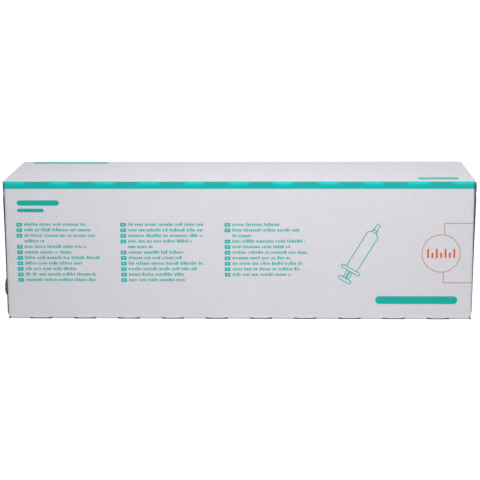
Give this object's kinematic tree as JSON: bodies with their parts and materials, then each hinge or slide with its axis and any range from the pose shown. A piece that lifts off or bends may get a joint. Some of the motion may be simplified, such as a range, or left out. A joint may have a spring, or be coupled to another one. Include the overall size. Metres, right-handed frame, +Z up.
{
  "type": "long corrugated shipping carton",
  "caption": "Long low carton of fine-flute corrugated board, folded from one slit-scored blank, with a tuck-in flap that opens upwards at each end.",
  "frame": {"origin": "centre of the underside, on the surface the carton stands on", "axes": "+X along the length, to the right seen from the printed front; the front faces -Y; +Z up"},
  "size_m": [0.4238, 0.122, 0.126],
  "materials": {
    "carton_board": "white coated liner outside, brown kraft inside, printed",
    "left_flap_board": "white coated liner outside, brown kraft inside",
    "right_flap_board": "white coated liner outside, brown kraft inside"
  },
  "bodies": {
    "carton": {"carton_body": "carton_board"},
    "left_flap": {"left_end_flap": "left_flap_board"},
    "right_flap": {"right_end_flap": "right_flap_board"}
  },
  "joints": [
    {"name": "left_flap_hinge", "type": "hinge", "parent": "carton", "child": "left_flap", "pos_m": [-0.2111, 0, 0.1252], "axis": [0, 1, 0], "range_deg": [0, 180]},
    {"name": "right_flap_hinge", "type": "hinge", "parent": "carton", "child": "right_flap", "pos_m": [0.2111, 0, 0.1252], "axis": [0, -1, 0], "range_deg": [0, 180]}
  ]
}
